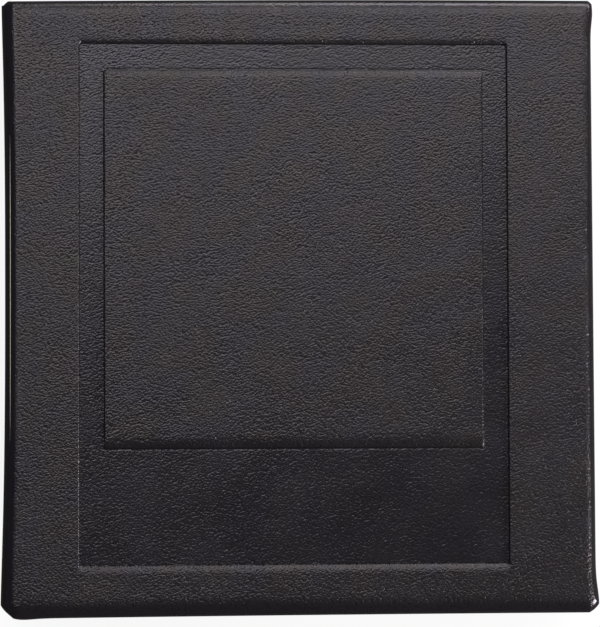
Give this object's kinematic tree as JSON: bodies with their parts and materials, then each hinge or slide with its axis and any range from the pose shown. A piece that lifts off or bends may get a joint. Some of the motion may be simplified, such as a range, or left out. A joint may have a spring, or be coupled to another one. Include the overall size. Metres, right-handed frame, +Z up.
{
  "type": "instant photo album",
  "caption": "Leather-covered hinged album with a print-shaped pressed frame on its front cover and a spine that carries stiff black leaves with clear pockets for instant prints.",
  "frame": {"origin": "on the table, under the middle of the closed album", "axes": "+X from the spine to the fore edge, +Y from the tail to the head, +Z up out of the front cover"},
  "size_m": [0.1226, 0.1272, 0.0284],
  "materials": {
    "cover_leather": "fine-grained black leather, satin",
    "cover_board": "grey millboard",
    "frame_card": "smooth card",
    "infill_paper": "levelling paper",
    "pastedown_paper": "black laid paper, matte",
    "lining_cloth": "black book cloth",
    "leaf_linen": "black linen",
    "leaf_card": "black card, matte",
    "pocket_film": "clear film",
    "adhesive_strip": "black double-sided tape"
  },
  "bodies": {
    "back_cover": {"back_board": "cover_board", "back_leather": "cover_leather", "back_infill": "infill_paper", "back_pastedown": "pastedown_paper"},
    "spine": {"spine_board": "cover_board", "spine_leather": "cover_leather", "spine_lining": "lining_cloth", "leaf_feet": "leaf_linen"},
    "front_cover": {"front_board": "cover_board", "front_frame_card": "frame_card", "front_panel_card": "frame_card", "front_leather": "cover_leather", "front_infill": "infill_paper", "front_pastedown": "pastedown_paper"},
    "leaf_1": {"leaf_1_card": "leaf_card", "leaf_1_linen": "leaf_linen", "leaf_1_films": "pocket_film", "leaf_1_strips": "adhesive_strip"},
    "leaf_2": {"leaf_2_card": "leaf_card", "leaf_2_linen": "leaf_linen", "leaf_2_films": "pocket_film", "leaf_2_strips": "adhesive_strip"},
    "leaf_3": {"leaf_3_card": "leaf_card", "leaf_3_linen": "leaf_linen", "leaf_3_films": "pocket_film", "leaf_3_strips": "adhesive_strip"},
    "leaf_4": {"leaf_4_card": "leaf_card", "leaf_4_linen": "leaf_linen", "leaf_4_films": "pocket_film", "leaf_4_strips": "adhesive_strip"},
    "leaf_5": {"leaf_5_card": "leaf_card", "leaf_5_linen": "leaf_linen", "leaf_5_films": "pocket_film", "leaf_5_strips": "adhesive_strip"},
    "leaf_6": {"leaf_6_card": "leaf_card", "leaf_6_linen": "leaf_linen", "leaf_6_films": "pocket_film", "leaf_6_strips": "adhesive_strip"},
    "leaf_7": {"leaf_7_card": "leaf_card", "leaf_7_linen": "leaf_linen", "leaf_7_films": "pocket_film", "leaf_7_strips": "adhesive_strip"},
    "leaf_8": {"leaf_8_card": "leaf_card", "leaf_8_linen": "leaf_linen", "leaf_8_films": "pocket_film", "leaf_8_strips": "adhesive_strip"}
  },
  "joints": [
    {"name": "spine_hinge", "type": "hinge", "parent": "back_cover", "child": "spine", "pos_m": [-0.0613, 0, 0], "axis": [0, -1, 0], "range_deg": [0, 90]},
    {"name": "front_cover_hinge", "type": "hinge", "parent": "spine", "child": "front_cover", "pos_m": [-0.0613, 0, 0.0284], "axis": [0, -1, 0], "range_deg": [0, 90]},
    {"name": "leaf_1_hinge", "type": "hinge", "parent": "spine", "child": "leaf_1", "pos_m": [-0.0563, 0, 0.00505], "axis": [0, -1, 0], "range_deg": [-70.01, 0]},
    {"name": "leaf_2_hinge", "type": "hinge", "parent": "spine", "child": "leaf_2", "pos_m": [-0.0563, 0, 0.00755], "axis": [0, -1, 0], "range_deg": [-50.01, 0]},
    {"name": "leaf_3_hinge", "type": "hinge", "parent": "spine", "child": "leaf_3", "pos_m": [-0.0563, 0, 0.01005], "axis": [0, -1, 0], "range_deg": [-30.01, 0]},
    {"name": "leaf_4_hinge", "type": "hinge", "parent": "spine", "child": "leaf_4", "pos_m": [-0.0563, 0, 0.01255], "axis": [0, -1, 0], "range_deg": [-10.01, 0]},
    {"name": "leaf_5_hinge", "type": "hinge", "parent": "spine", "child": "leaf_5", "pos_m": [-0.0563, 0, 0.01505], "axis": [0, -1, 0], "range_deg": [0, 10.01]},
    {"name": "leaf_6_hinge", "type": "hinge", "parent": "spine", "child": "leaf_6", "pos_m": [-0.0563, 0, 0.01755], "axis": [0, -1, 0], "range_deg": [0, 30.01]},
    {"name": "leaf_7_hinge", "type": "hinge", "parent": "spine", "child": "leaf_7", "pos_m": [-0.0563, 0, 0.02005], "axis": [0, -1, 0], "range_deg": [0, 50.01]},
    {"name": "leaf_8_hinge", "type": "hinge", "parent": "spine", "child": "leaf_8", "pos_m": [-0.0563, 0, 0.02255], "axis": [0, -1, 0], "range_deg": [0, 70.01]}
  ],
  "couplings": [
    {"joint": "leaf_1_hinge", "follows": "spine_hinge", "ratio": -0.77778},
    {"joint": "leaf_2_hinge", "follows": "spine_hinge", "ratio": -0.55556},
    {"joint": "leaf_3_hinge", "follows": "spine_hinge", "ratio": -0.33333},
    {"joint": "leaf_4_hinge", "follows": "spine_hinge", "ratio": -0.11111},
    {"joint": "leaf_5_hinge", "follows": "front_cover_hinge", "ratio": 0.11111},
    {"joint": "leaf_6_hinge", "follows": "front_cover_hinge", "ratio": 0.33333},
    {"joint": "leaf_7_hinge", "follows": "front_cover_hinge", "ratio": 0.55556},
    {"joint": "leaf_8_hinge", "follows": "front_cover_hinge", "ratio": 0.77778}
  ]
}
